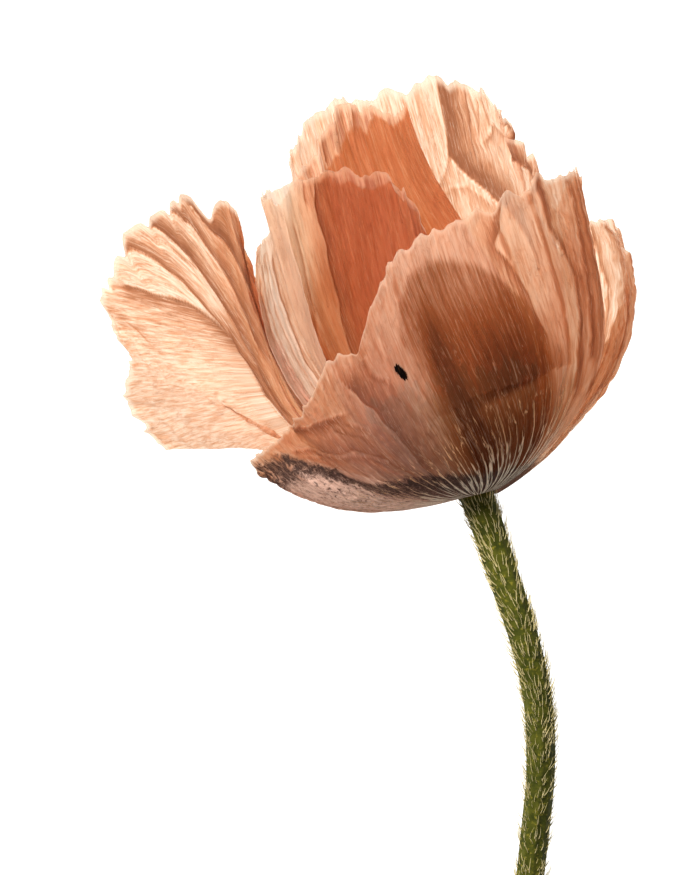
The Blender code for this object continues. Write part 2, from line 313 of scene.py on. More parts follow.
# How each petal differs from its plain form.
# width: the rim's length in millimetres. columns, rows: points of the mesh. teeth, lobes: their strength.
# rim: (place u, half width, millimetres outwards). folds: (place u, half width, millimetres, start t).
# rich: (place u, depth of colour) along the rim. rich_lean: how far those places move down at the base.
# tucks: (points (u, t) of a fold's edge, millimetres of doubled tissue to the left of it, depth), with shade
# painted on the doubled tissue.
# grain: how strongly the fibres show, and how short they are. wider: degrees that the last rib turns on.
# plain, pleats, ruffle and crumple are millimetres of relief.
PETAL_STYLE = {
    "petal_front": dict(
        seed=3, width=150, columns=350, rows=140, teeth=0.9, lobes=0.5,
        rim=((0.605, 0.022, -4.4), (0.51, 0.03, 1.2), (0.265, 0.014, -2.4), (0.315, 0.012, -1.8),
            (0.235, 0.010, 1.0), (0.14, 0.02, 1.2), (0.66, 0.02, 1.2), (0.93, 0.04, 2.0)),
        folds=((0.315, 0.010, -1.5, 0.45), (0.255, 0.012, -1.4, 0.35), (0.205, 0.010, 1.2, 0.15),
            (0.165, 0.010, -1.2, 0.1), (0.12, 0.012, 1.3, 0.1), (0.075, 0.010, -1.1, 0.1),
            (0.70, 0.016, 1.0, 0.35), (0.645, 0.014, -1.0, 0.4), (0.79, 0.018, 1.2, 0.35),
            (0.86, 0.02, -1.2, 0.4), (0.50, 0.02, -0.7, 0.1), (0.57, 0.014, 0.7, 0.2)),
        rich=((0, 0.25), (0.10, 0.25), (0.16, 0.35), (0.3, 0.12), (0.5, 0.10), (0.66, 0.40), (0.8, 0.75),
            (1, 0.7)),
        tucks=(
            (((0.30, 1.0), (0.33, 0.89), (0.31, 0.76), (0.30, 0.62)), 2.6, 0.8),
            (((0.24, 1.0), (0.24, 0.88), (0.205, 0.72), (0.23, 0.55), (0.23, 0.40)), -2.2, 0.95),
            (((0.18, 1.0), (0.18, 0.86), (0.19, 0.69), (0.19, 0.5)), -1.6, 1.0),
            (((0.14, 1.0), (0.135, 0.8), (0.15, 0.6), (0.17, 0.4)), -1.4, 0.65),
            (((0.10, 1.0), (0.09, 0.8), (0.10, 0.6)), 1.2, 0.45),
            (((0.475, 0.70), (0.485, 0.57), (0.48, 0.31)), -4.0, 0.6),
            (((0.50, 0.55), (0.42, 0.53), (0.30, 0.50)), -7.0, 0.6),
            (((0.64, 0.86), (0.62, 0.74), (0.61, 0.61), (0.61, 0.43)), -3.4, 1.3),
            (((0.78, 0.98), (0.745, 0.93), (0.71, 0.88), (0.68, 0.83)), 2.5, 1.2),
            (((0.60, 0.90), (0.60, 0.83), (0.585, 0.78)), 1.2, 0.9),
            (((0.70, 0.80), (0.67, 0.70), (0.655, 0.58), (0.65, 0.45)), -2.0, 0.9),
            (((0.76, 0.82), (0.69, 0.68), (0.65, 0.55)), -4.0, 0.8),
            (((0.86, 0.96), (0.82, 0.86), (0.76, 0.72)), 2.4, 0.7),
            (((0.72, 0.90), (0.68, 0.80), (0.65, 0.70)), 1.5, 0.9),
            (((0.82, 0.90), (0.74, 0.76), (0.68, 0.62), (0.64, 0.50)), 1.8, 0.8),
            (((0.58, 0.75), (0.57, 0.60), (0.56, 0.45)), -1.6, 0.7),
        ),
        grain=(0.6, 0.4), plain=0.35, pleats=0.10, ruffle=0.45, crumple=0.14,
    ),
    "petal_left": dict(
        seed=14, width=112, columns=350, rows=140, teeth=1.0, lobes=0.8,
        rim=((0.69, 0.02, -3.0), (0.63, 0.03, 2.2), (0.50, 0.03, 1.8), (0.38, 0.03, 1.4),
            (0.28, 0.03, -3.2), (0.745, 0.012, 1.0), (0.16, 0.06, 0.8), (0.03, 0.05, 1.5),
            (0.44, 0.010, -1.6), (0.48, 0.006, -2.0), (0.54, 0.006, -1.7), (0.59, 0.006, -1.8),
            (0.62, 0.006, -1.7), (0.41, 0.006, -1.2)),
        folds=((0.70, 0.012, 1.0, 0.3), (0.735, 0.012, -1.2, 0.3), (0.77, 0.010, 1.1, 0.25),
            (0.81, 0.012, -1.0, 0.25), (0.85, 0.012, 1.0, 0.2), (0.90, 0.014, -1.2, 0.2),
            (0.95, 0.012, 1.0, 0.2)),
        tucks=(
            (((0.45, 0.95), (0.49, 0.87), (0.53, 0.81), (0.585, 0.75), (0.64, 0.69)), -3.6, 0.9),
            (((0.48, 1.0), (0.53, 0.91), (0.56, 0.83), (0.60, 0.75), (0.64, 0.69)), 2.0, 1.0),
            (((0.645, 0.69), (0.675, 0.60), (0.675, 0.50), (0.665, 0.35), (0.65, 0.15)), 4.0, 1.2),
            (((0.54, 1.0), (0.59, 0.91), (0.63, 0.82), (0.67, 0.74), (0.70, 0.65),
              (0.71, 0.5)), 2.4, 1.4),
            (((0.59, 1.0), (0.635, 0.94), (0.68, 0.87), (0.71, 0.79), (0.74, 0.68)), 2.4, 1.3),
            (((0.62, 1.0), (0.69, 0.96), (0.73, 0.88), (0.79, 0.78), (0.83, 0.66),
              (0.86, 0.5)), 3.0, 1.4),
            (((0.75, 1.0), (0.76, 0.92), (0.80, 0.86), (0.86, 0.74), (0.90, 0.6)), 5.0, 0.8),
            (((0.34, 1.0), (0.37, 0.93), (0.36, 0.88)), 2.0, 0.5),
            (((0.51, 1.0), (0.56, 0.93), (0.60, 0.86)), 1.2, 0.6),
            (((0.565, 1.0), (0.61, 0.93), (0.65, 0.85), (0.68, 0.78)), 1.2, 0.6),
            (((0.65, 1.0), (0.70, 0.94), (0.75, 0.85), (0.77, 0.76)), 1.4, 0.7),
            (((0.77, 0.72), (0.79, 0.55), (0.80, 0.3)), 1.5, 0.7),
            (((0.83, 0.70), (0.86, 0.5), (0.86, 0.3)), 1.5, 0.7),
        ),
        rich=((0, 0.22), (0.3, 0.16), (0.5, 0.12), (0.645, 0.0), (0.68, 0.8), (0.8, 1.05), (0.9, 1.3),
            (1, 1.3)),
        grain=(1.0, 1.0), plain=0.4, pleats=0.12, ruffle=0.9, crumple=0.14,
    ),
    "petal_right": dict(
        seed=25, width=72, columns=260, rows=140, teeth=0.7, lobes=0.8,
        rim=((0.2, 0.06, 1.0), (0.5, 0.02, -0.9)),
        folds=((0.3, 0.03, 1.0, 0.3), (0.45, 0.025, -1.2, 0.3), (0.56, 0.02, 1.2, 0.3),
            (0.68, 0.02, -1.2, 0.25), (0.8, 0.02, 1.0, 0.2), (0.9, 0.02, -0.9, 0.2)),
        rich=((0, 0.2), (0.3, 0.2), (0.5, 0.1), (0.8, 0.05), (1, 0.3)),
        tucks=(
            (((0.33, 1.0), (0.36, 0.8), (0.38, 0.5)), 1.2, 0.7),
            (((0.42, 1.0), (0.45, 0.8), (0.45, 0.5)), -1.6, 0.9),
            (((0.58, 1.0), (0.55, 0.8), (0.53, 0.5)), 1.2, 0.6),
            (((0.68, 1.0), (0.66, 0.8), (0.62, 0.5)), -1.2, 0.6),
            (((0.80, 0.95), (0.76, 0.7), (0.72, 0.5)), -1.2, 0.6),
        ),
        grain=(1.2, 0.6), plain=0.5, pleats=0.16, ruffle=0.6, crumple=0.2,
    ),
    "petal_back": dict(
        seed=36, width=112, columns=350, rows=140, teeth=1.1, lobes=0.9,
        rim=((0.15, 0.06, 2.0), (0.28, 0.06, 3.0), (0.42, 0.06, 2.2), (0.55, 0.05, 3.6),
            (0.63, 0.04, 2.6), (0.70, 0.03, 2.2), (0.585, 0.008, -1.4), (0.93, 0.04, 1.6)),
        folds=((0.80, 0.014, -1.0, 0.5), (0.84, 0.012, 1.0, 0.5), (0.88, 0.012, -1.0, 0.5),
            (0.93, 0.012, 1.0, 0.5), (0.30, 0.02, 0.7, 0.5), (0.2, 0.02, -0.7, 0.5)),
        tucks=(
            (((0.565, 1.0), (0.56, 0.93), (0.545, 0.87), (0.59, 0.82), (0.66, 0.76),
              (0.72, 0.70)), 4.6, 1.7),
            (((0.59, 1.0), (0.587, 0.93), (0.60, 0.86)), -0.8, 0.9),
            (((0.61, 1.0), (0.603, 0.92), (0.61, 0.85)), -0.7, 1.0),
            (((0.635, 0.99), (0.62, 0.92), (0.62, 0.86), (0.65, 0.80)), -1.0, 1.1),
            (((0.66, 0.97), (0.64, 0.90), (0.65, 0.84)), -0.7, 0.7),
            (((0.545, 0.87), (0.52, 0.83), (0.48, 0.79)), 1.4, 0.6),
            (((0.49, 0.78), (0.53, 0.80), (0.57, 0.80), (0.61, 0.77)), -5.0, 0.45),
            (((0.66, 0.90), (0.70, 0.935), (0.76, 0.93), (0.82, 0.95)), -1.6, 0.7),
            (((0.75, 1.0), (0.80, 0.975), (0.84, 0.94), (0.92, 0.92), (1.0, 0.90)), 3.0, 1.2),
            (((0.88, 1.0), (0.92, 0.96), (1.0, 0.95)), 2.0, 0.9),
        ),
        rich=((0, 0.30), (0.4, 0.22), (0.6, 0.20), (0.85, -0.05), (1, 0.3)),
        grain=(1.0, 0.8), plain=0.5, pleats=0.13, ruffle=0.9, crumple=0.20,
    ),
    "petal_inner_back": dict(
        seed=47, width=92, columns=340, rows=140, teeth=0.8, lobes=0.5,
        rim=((0.66, 0.07, 4.5), (0.56, 0.03, 1.5), (0.80, 0.04, 2.0), (1.0, 0.03, 2.2),
            (0.905, 0.02, -0.8)),
        folds=((0.22, 0.016, -0.8, 0.3), (0.34, 0.016, -0.9, 0.3), (0.4, 0.018, 0.2, 0.3),
            (0.52, 0.014, 1.2, 0.8), (0.565, 0.010, -1.6, 0.8), (0.61, 0.010, 1.6, 0.8),
            (0.66, 0.012, -1.6, 0.8), (0.72, 0.012, 1.5, 0.8), (0.78, 0.012, -1.2, 0.8)),
        rich=((0, 0.5), (0.13, -0.1), (0.20, -0.4), (0.25, -0.1), (0.29, 0.9), (0.33, 1.15), (0.36, -0.3),
            (0.38, -0.6), (0.45, 0.3), (0.52, 1.7), (1, 1.9)),
        tucks=(
            (((0.06, 0.90), (0.08, 0.70), (0.10, 0.50)), -0.9, 0.8),
            (((0.115, 0.93), (0.13, 0.70), (0.14, 0.50)), 0.8, 0.6),
            (((0.18, 0.95), (0.19, 0.70), (0.19, 0.50)), -0.8, 0.6),
            (((0.24, 0.92), (0.24, 0.70), (0.23, 0.50)), 1.1, 0.8),
            (((0.34, 0.90), (0.335, 0.80), (0.32, 0.70), (0.28, 0.55)), -2.8, 0.65),
            (((0.57, 1.0), (0.565, 0.95)), 1.6, 1.0),
            (((0.63, 1.0), (0.62, 0.95)), -1.4, 0.9),
            (((0.70, 1.0), (0.69, 0.96)), 1.6, 0.8),
            (((0.90, 1.0), (0.89, 0.8), (0.88, 0.6)), 5.0, 0.35),
        ),
        grain=(0.65, 0.5), plain=0.35, pleats=0.12, ruffle=0.6, crumple=0.10, wider=3.0,
    ),
    "petal_inner_left": dict(
        seed=58, width=84, columns=340, rows=140, teeth=0.8, lobes=0.5,
        rim=((0.58, 0.05, 1.5), (0.68, 0.05, 2.4), (0.84, 0.03, 1.2), (0.93, 0.03, 2.2),
            (0.885, 0.010, -1.2), (0.06, 0.05, 1.0)),
        folds=((0.30, 0.03, 0.8, 0.2), (0.47, 0.03, 0.9, 0.2), (0.53, 0.03, -0.9, 0.2),
            (0.12, 0.02, -0.9, 0.3), (0.20, 0.02, 0.9, 0.3), (0.86, 0.016, -1.0, 0.5),
            (0.92, 0.016, 1.0, 0.5)),
        rich=((0, -0.9), (0.4, -0.8), (0.50, -0.6), (0.56, -0.3), (0.60, 0.4), (0.65, 1.1),
            (1, 1.3)), rich_lean=0.22,
        tucks=(
            (((0.50, 0.88), (0.50, 0.81), (0.46, 0.67), (0.43, 0.58), (0.42, 0.45)), -1.8, 0.6),
            (((0.60, 1.0), (0.585, 0.93), (0.59, 0.82), (0.58, 0.66), (0.56, 0.5)), 3.0, 0.9),
            (((0.90, 1.0), (0.92, 0.94), (0.93, 0.88)), 6.0, 0.6),
            (((0.565, 1.0), (0.56, 0.95)), 1.2, 0.6),
        ),
        grain=(0.5, 0.4), plain=0.35, pleats=0.10, ruffle=0.6, crumple=0.08,
    ),
}

# The upper edge of the dark basal mark of the front petal, as (u, t): it climbs along the left margin.
MARK_EDGE = ((0, 0.15), (0.3, 0.15), (0.47, 0.22), (0.56, 0.30), (0.62, 0.38), (0.69, 0.47),
             (0.75, 0.56), (0.8, 0.74), (0.845, 0.93), (1, 1.02))
# The arc that tops the painted shadow in the middle of the front petal, as (u, t).
SHADOW_TOP = ((0.28, 0.55), (0.31, 0.70), (0.34, 0.82), (0.37, 0.89), (0.41, 0.93), (0.46, 0.94),
             (0.50, 0.90), (0.55, 0.80), (0.62, 0.66))
# The left petal's lower panel: the fold that bounds it, as (t, u), and the point its fibres fan out from.
PANEL_FOLD = ((0, 0.63), (0.35, 0.665), (0.60, 0.675), (0.69, 0.645), (0.75, 0.585), (0.81, 0.53),
              (0.87, 0.49), (0.95, 0.45), (1, 0.43))
PANEL_FAN = np.array((18.5, 37.0))
# Relief in millimetres of fine wrinkles, of tucks and of frills, and the sizes of the painted highlight on a
# tuck's crest.
WRINKLE = 0.10
TUCK_DEPTH = 0.55
TUCK_EDGE = 0.2
CREST_AWAY = 0.45
CREST_HALF = 0.32
FRILL_DEPTH = 1.5
# How far up the front petal its pale veins, with their painted highlight, reach, and where the inner back
# petal's frill starts, as (u, t).
VEIN_REACH = ((0, 0.45), (0.25, 0.64), (0.5, 0.66), (0.6, 0.62), (0.74, 0.72), (0.85, 0.80), (1, 0.85))
LIP_START = ((0.5, 0.93), (0.6, 0.935), (0.72, 0.955), (0.8, 0.975), (1.0, 0.985))
# The blackish fleck: where it is seen from above, which way it points and its half lengths.
FLECK_PLACE = np.array((7.0, 36.6))
FLECK_TURN = -53.0
FLECK_HALF = (1.9, 0.72)
# The lowest that a petal comes to the table, and the height at which it starts to bend level.
REST_HEIGHT = 0.12
SOFT_HEIGHT = 2.2


def ridge(x):
    """A fold seen end on: height 1 at its crest, with concave sides."""
    return np.exp(-np.abs(x) ** 1.15)


def rim_stretch(u, style):
    """Millimetres that each rib gains at the rim: pointed teeth, wider lobes and notches."""
    noise = Noise(style["seed"])
    across = u * style["width"]
    teeth = 0.8 - np.abs(noise(across / 2.7, 0.5)) * 2.2 - np.abs(noise(across / 1.3, 20.5)) * 0.5
    lobes = noise(across / 13, 7.5) + noise(across / 6, 3.5) * 0.6
    move = teeth * style["teeth"] + lobes * style["lobes"]
    for centre, half, height in style["rim"]:
        move = move + height * bump_at(u, centre, half)
    return move


def fibre_of(name, u, t, middle):
    """The place across the petal's fibres in millimetres: fibres follow its lines of equal value."""
    width = PETAL_STYLE[name]["width"]
    if name != "petal_left":
        return np.repeat((u * width)[:, None], len(t), 1)
    upper = (u[:, None] - 0.55 * np.minimum(1 - t, 0.4)[None]) * width
    away = middle[..., :2] - PANEL_FAN
    lower = np.arctan2(away[..., 1], -away[..., 0]) * PETAL_LENGTH
    fold = np.interp(t, *zip(*PANEL_FOLD))[None]
    return np.where(u[:, None] < fold, lower, upper + 300)


def tuck_of(u, t, style):
    """1 at a tuck's edge, fading over the doubled tissue, where shade is painted; below 0 on the painted
    highlight of the crest beside the edge.
    """
    width = style["width"]
    wobble = Noise(style["seed"] + 4)(u[:, None] * width / 4, t[None] * 18) * 0.35
    x = (u[:, None] - 0.5) * width * (FOOT_SHARE + (1 - FOOT_SHARE) * t[None]) + wobble
    y = np.broadcast_to(PETAL_LENGTH * t[None], x.shape)
    total, crest_highlight = np.zeros_like(x), np.zeros_like(x)
    for line, reach, depth in style["tucks"]:
        corners = [
            np.array(((a - 0.5) * width * (FOOT_SHARE + (1 - FOOT_SHARE) * b), PETAL_LENGTH * b))
            for a, b in line
        ]
        near, side = np.full_like(x, 1e9), np.zeros_like(x)
        for start, stop in zip(corners, corners[1:]):
            way = stop - start
            share = np.clip(((x - start[0]) * way[0] + (y - start[1]) * way[1]) / (way @ way), 0, 1)
            dx, dy = x - start[0] - share * way[0], y - start[1] - share * way[1]
            gap = np.hypot(dx, dy)
            closer = gap < near
            near = np.where(closer, gap, near)
            side = np.where(closer, np.sign(way[0] * dy - way[1] * dx), side)
        inside = side * np.sign(reach) > 0
        fade = np.where(inside, np.exp(-near / abs(reach)), np.exp(-near / TUCK_EDGE))
        total = np.maximum(total, depth * fade)
        # Painted highlight on the crest beside a tuck's edge.
        bright = np.exp(-((near - CREST_AWAY) / CREST_HALF) ** 2)
        crest_highlight = np.maximum(crest_highlight, np.where(inside, 0, 0.30 * depth * bright))
    return total - crest_highlight * (total < 0.35)


def petal_relief(u, t, style, across, tuck):
    """Millimetres that the surface moves along its normal: folds, pleats, creases and a ruffled rim."""
    noise = Noise(style["seed"] + 1)
    along = (t * PETAL_LENGTH)[None]
    free = smoothstep(0.10, 0.55, t)[None]
    rim = smoothstep(0.72, 1.0, t)[None]
    drift = noise(across / 20, along / 40) * 3
    relief = free * noise((across + drift) / 11, along / 90) * style["plain"]
    for centre, half, height, start in style["folds"]:
        wander = noise(centre * 90 + 0 * along, along / 26 + 50) * half * 0.7
        rise = smoothstep(start, min(start + 0.45, 1.02), t)[None]
        relief = relief + height * ridge((u[:, None] - centre - wander) / half) * rise
    pleats = noise.crease((across + drift) / 4.6, along / 60 + 9)
    pleats = pleats + 0.45 * noise.crease((across + drift * 0.6) / 2.1, along / 28 + 30)
    relief = relief + free * pleats * style["pleats"]
    crumple = noise.crease(across / 5 + 50, along / 5)
    crumple = crumple + 0.5 * noise.crease(across / 2.6 + 90, along / 3.2 + 20)
    relief = relief + free * crumple * style["crumple"] * (0.8 + 0.9 * rim)
    wrinkle = noise.crease(across / 1.25, along / 13 + 40) * 0.6
    wrinkle = wrinkle + noise.crease((across + along * 0.5) / 2.4 + 15, along / 6 + 60) * 0.4
    relief = relief + free * wrinkle * WRINKLE - free * tuck * TUCK_DEPTH
    return relief + rim**1.5 * noise((u * style["width"])[:, None] / 3.6, along / 15 + 70) * style["ruffle"]


def valley_of(relief, reach=5):
    """0 on open tissue to 1 in deep creases, from the relief against its average across the ribs; it paints
    shade into the creases.
    """
    padded = np.pad(relief, ((reach, reach), (0, 0)), mode="edge")
    total = np.cumsum(np.concatenate([np.zeros((1, relief.shape[1])), padded]), axis=0)
    average = (total[2 * reach + 1 :] - total[: -2 * reach - 1]) / (2 * reach + 1)
    return np.clip((average - relief) * 2.6 - 0.10, 0, 1)


def mark_of(name, u, t):
    """How dark the basal mark is, from 0 to 1."""
    if name != "petal_front":
        return np.repeat(smoothstep(0.30, 0.14, t)[None], len(u), 0)
    edge = np.interp(u, *zip(*MARK_EDGE))[:, None]
    left = smoothstep(0.66, 0.80, u)[:, None]
    below = smoothstep(edge + 0.05, edge - 0.03, t[None])
    band = 1 - left * smoothstep(edge - 0.09, edge - 0.20, t[None]) * 0.50
    return below * band * (1 - 0.15 * smoothstep(0.8, 0.95, u)[:, None])


def vein_and_highlight_of(name, u, t):
    """How strongly the pale raised veins show, with the light on their ridges painted in as white, from 0 to
    1.
    """
    if name != "petal_front":
        return 0.25 * smoothstep(0.62, 0.30, t)[None] * np.ones((len(u), 1))
    reach = np.interp(u, *zip(*VEIN_REACH))[:, None]
    return smoothstep(reach, reach * 0.45, t[None]) * smoothstep(0.12, 0.26, u)[:, None]


def shadow_and_dark_base_of(name, u, t):
    """Painted shadow of the inner petals and the capsule seen through the middle of the front petal, up to a
    soft arc, with a dark streak and a darker base; other petals are darker towards their base.
    """
    if name != "petal_front":
        return smoothstep(0.45, 0.12, t)[None] * 0.6 * np.ones((len(u), 1))
    top = np.interp(u, *zip(*SHADOW_TOP))[:, None]
    sides = smoothstep(0.285, 0.315, u) * smoothstep(0.60, 0.47, u)
    inside = smoothstep(0.02, -0.03, t[None] - top) * sides[:, None]
    level = smoothstep(0.84, 0.60, t) * smoothstep(0.485, 0.515, t)
    core = bump_at(u, 0.375, 0.075)[:, None] * level[None]
    line = np.interp(t, (0.2, 0.5, 0.6, 0.8, 0.9), (0.47, 0.475, 0.475, 0.46, 0.44))[None]
    streak = bump_at(u[:, None], line, 0.024) * smoothstep(0.92, 0.66, t)[None]
    streak = streak * smoothstep(0.10, 0.35, t)[None]
    foot = smoothstep(0.14, 0.30, u) * smoothstep(0.66, 0.50, u)
    base = smoothstep(0.66, 0.30, t)[None] * foot[:, None]
    return np.clip(0.62 * inside + 0.85 * core + 0.95 * streak + 0.85 * base, 0, 1.9)


def fleck_of(name, middle):
    """A small blackish fleck on the front petal, longer one way than the other."""
    if name != "petal_front":
        return np.zeros(middle.shape[:2])
    away = middle[..., :2] - FLECK_PLACE
    turn = math.radians(FLECK_TURN)
    long_way = away[..., 0] * math.cos(turn) + away[..., 1] * math.sin(turn)
    short_way = away[..., 1] * math.cos(turn) - away[..., 0] * math.sin(turn)
    return smoothstep(1.35, 0.65, np.hypot(long_way / FLECK_HALF[0], short_way / FLECK_HALF[1]))


def rest_softly(points):
    """Keeps points above the surface that the flower lies on, bending them level as they near it."""
    z = points[..., 2]
    depth = SOFT_HEIGHT - REST_HEIGHT
    low = REST_HEIGHT + depth * np.exp((z - SOFT_HEIGHT) / depth)
    points[..., 2] = np.where(z < SOFT_HEIGHT, low, z)
    return points


def lip_of(name, u, t):
    """Where a petal's rim is rolled out into a pale frill, from 0 to 1."""
    if name == "petal_inner_back":
        start = (np.interp(u, *zip(*LIP_START)) + 0.014 * Noise(5)(u * 34, 0.5))[:, None]
        sides = smoothstep(0.45, 0.50, u) * smoothstep(0.99, 0.93, u)
        return smoothstep(start, start + 0.006, t[None]) * sides[:, None]
    if name == "petal_inner_left":
        start = (0.968 + 0.018 * Noise(6)(u * 26, 0.5))[:, None]
        return smoothstep(start, start + 0.008, t[None]) * smoothstep(0.62, 0.70, u)[:, None]
    return np.zeros((len(u), len(t)))


def under_of(name, u, t):
    """Pale pink tissue, below the front petal's basal mark and low on the inner back petal's left margin."""
    if name == "petal_inner_back":
        ragged = 0.02 * Noise(11)(t[None] * 30, u[:, None] * 20)
        pink = 0.5 * smoothstep(0.155, 0.135, u[:, None] + ragged) * smoothstep(0.73, 0.69, t)[None]
        return pink * smoothstep(0.40, 0.5, t)[None]
    if name != "petal_front":
        return np.zeros((len(u), len(t)))
    edge = np.interp(u, *zip(*MARK_EDGE))[:, None]
    pink = 0.85 * smoothstep(edge - 0.02, edge - 0.16, t[None]) * smoothstep(0.68, 0.82, u)[:, None]
    return pink * smoothstep(0.08, 0.22, t)[None]


def dusky_shade_of(name, u, t):
    """Painted shade, dusky and dull, at the front petal's lower left and on the inner back petal's left
    lobe.
    """
    if name == "petal_inner_back":
        level = smoothstep(0.87, 0.83, t) * smoothstep(0.45, 0.55, t)
        return 0.30 * smoothstep(0.27, 0.20, u)[:, None] * level[None]
    if name != "petal_front":
        return np.zeros((len(u), len(t)))
    return smoothstep(0.50, 0.64, u)[:, None] * smoothstep(1.0, 0.60, t)[None]


def build_petal(name):
    style = PETAL_STYLE[name]
    columns, rows = style["columns"], style["rows"]
    u, t = np.linspace(0, 1, columns), np.linspace(0, 1, rows)
    wider = style.get("wider", 0.0) * smoothstep(0.8, 1, u)
    middle = petal_surface(RIBS[name], u, t, rim_stretch(u, style), wider)
    across = fibre_of(name, u, t, middle)
    tuck = tuck_of(u, t, style)
    lip = lip_of(name, u, t)
    frill = Noise(8)(u[:, None] * style["width"] / 2.4, 0.5 + 0 * t[None])
    relief = petal_relief(u, t, style, across, tuck) + lip * frill * FRILL_DEPTH
    middle = rest_softly(middle + normals_of(middle) * relief[..., None])
    leaning = u[:, None] + style.get("rich_lean", 0.0) * smoothstep(0.95, 0.45, t)[None]
    rich = np.interp(leaning, *zip(*style["rich"]))
    rich = rich * (1 - lip) - 0.15 * lip
    mesh = sheet_solid(name, middle, TISSUE, {
        "across": across,
        "along": np.repeat(t[None], columns, 0),
        "valley_shade": valley_of(relief),
        "rich": rich,
        "mark": mark_of(name, u, t),
        "vein_and_highlight": vein_and_highlight_of(name, u, t),
        "fleck": fleck_of(name, middle),
        "tuck": tuck,
        "lip": lip,
        "dusky_shade": dusky_shade_of(name, u, t),
        "under": under_of(name, u, t),
        "shadow_and_dark_base": shadow_and_dark_base_of(name, u, t),
    })
    mesh.materials.append(petal_material(name))
    piece = link(name + "_skin", mesh)
    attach(piece, "root")
    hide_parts(name)
    return piece


# ---------------------------------------------------------------- materials


class Graph:
    """A material's node tree, with short calls for the nodes used here."""

    def __init__(self, name):
        self.material = bpy.data.materials.new(name)
        self.material.use_nodes = True
        self.tree = self.material.node_tree
        self.tree.nodes.clear()
        self.out = self.tree.nodes.new("ShaderNodeOutputMaterial")

    def put(self, socket, value):
        if hasattr(value, "is_output"):
            self.tree.links.new(value, socket)
        elif isinstance(value, tuple) and len(value) == 3 and socket.type == "RGBA":
            socket.default_value = (*value, 1.0)
        else:
            socket.default_value = value

    def node(self, kind, **inputs):
        made = self.tree.nodes.new("ShaderNode" + kind)
        for key, value in inputs.items():
            self.put(made.inputs[key.replace("_", " ")], value)
        return made

    def attribute(self, name):
        made = self.tree.nodes.new("ShaderNodeAttribute")
        made.attribute_name = name
        return made.outputs["Fac"]

    def math(self, operation, a, b=0.0, clamp=False):
        made = self.tree.nodes.new("ShaderNodeMath")
        made.operation = operation
        made.use_clamp = clamp
        self.put(made.inputs[0], a)
        self.put(made.inputs[1], b)
        return made.outputs[0]

    def add(self, *terms):
        """The sum of terms, each a value or a pair of a value and its weight."""
        total = None
        for term in terms:
            term = self.math("MULTIPLY", *term) if isinstance(term, tuple) else term
            total = term if total is None else self.math("ADD", total, term)
        return total

    def vector(self, x, y, z):
        made = self.node("CombineXYZ")
        for socket, value in zip(made.inputs, (x, y, z)):
            self.put(socket, value)
        return made.outputs[0]

    def noise(self, vector, scale, detail=2.0, roughness=0.5, distortion=0.0):
        made = self.node("TexNoise", Scale=scale, Detail=detail, Roughness=roughness, Distortion=distortion)
        self.put(made.inputs["Vector"], vector)
        return made.outputs["Fac"]

    def span(self, value, low, high, to_low=0.0, to_high=1.0):
        made = self.tree.nodes.new("ShaderNodeMapRange")
        made.interpolation_type = "SMOOTHSTEP"
        keys = ("Value", "From Min", "From Max", "To Min", "To Max")
        for key, given in zip(keys, (value, low, high, to_low, to_high)):
            self.put(made.inputs[key], given)
        return made.outputs[0]

    def ridged(self, value, width):
        """1 along the thin lines where a noise crosses its middle, and 0 away from them."""
        return self.span(self.math("ABSOLUTE", self.math("SUBTRACT", value, 0.5)), width, 0.0)

    def mix(self, fac, a, b, blend="MIX"):
        made = self.tree.nodes.new("ShaderNodeMix")
        made.data_type = "RGBA"
        made.blend_type = blend
        self.put(made.inputs[0], fac)
        self.put(made.inputs[6], a)
        self.put(made.inputs[7], b)
        return made.outputs[2]

    def bump(self, height, strength, distance):
        made = self.node("Bump", Strength=strength, Distance=distance)
        self.put(made.inputs["Height"], height)
        return made.outputs[0]

    def finish(self, shader):
        self.tree.links.new(shader, self.out.inputs["Surface"])
        return self.material


# Light through one face of the tissue where it is pale and where it is rich, and light off it.
PALE = (0.985, 0.900, 0.810)
RICH = (0.875, 0.61, 0.44)
OFF_PALE = (0.92, 0.62, 0.44)
OFF_RICH = (0.55, 0.28, 0.17)
DEEP = (0.79, 0.47, 0.29)
# Painted shade: the colour of the doubled tissue in a tuck.
TUCK_SHADE_THROUGH = (0.54, 0.31, 0.20)
# Painted shadow: the colours light through and off the tissue are darkened to under it.
SHADOW_THROUGH = (0.60, 0.34, 0.18)
DEEP_SHADOW_THROUGH = (0.25, 0.085, 0.025)
SHADOW_OFF = (0.30, 0.13, 0.06)
# Painted shade: the colour that creases and thin wrinkle lines are darkened to.
CREASE_SHADE_THROUGH = (0.70, 0.44, 0.29)
# Painted shade: dull, dusky colours of light through and off the tissue.
DUSKY_SHADE_THROUGH = (0.62, 0.43, 0.36)
DUSKY_SHADE_OFF = (0.56, 0.34, 0.27)
UNDER_THROUGH = (0.90, 0.72, 0.63)
UNDER_OFF = (0.92, 0.66, 0.55)
LIP_THROUGH = (0.80, 0.56, 0.46)
MARK_THROUGH = (0.34, 0.22, 0.18)
MARK_OFF = (0.055, 0.036, 0.030)
VEIN_OFF = (0.86, 0.46, 0.23)
# Painted highlight: the white of the veins' lit ridges near the base.
VEIN_HIGHLIGHT_WHITE = (1.0, 0.84, 0.64)
FLECK_DARK = (0.02, 0.012, 0.01)
FLECK_BROWN = (0.20, 0.10, 0.03)
THROUGH_SHARE = 0.91
CLEAR_SHARE = 0.60


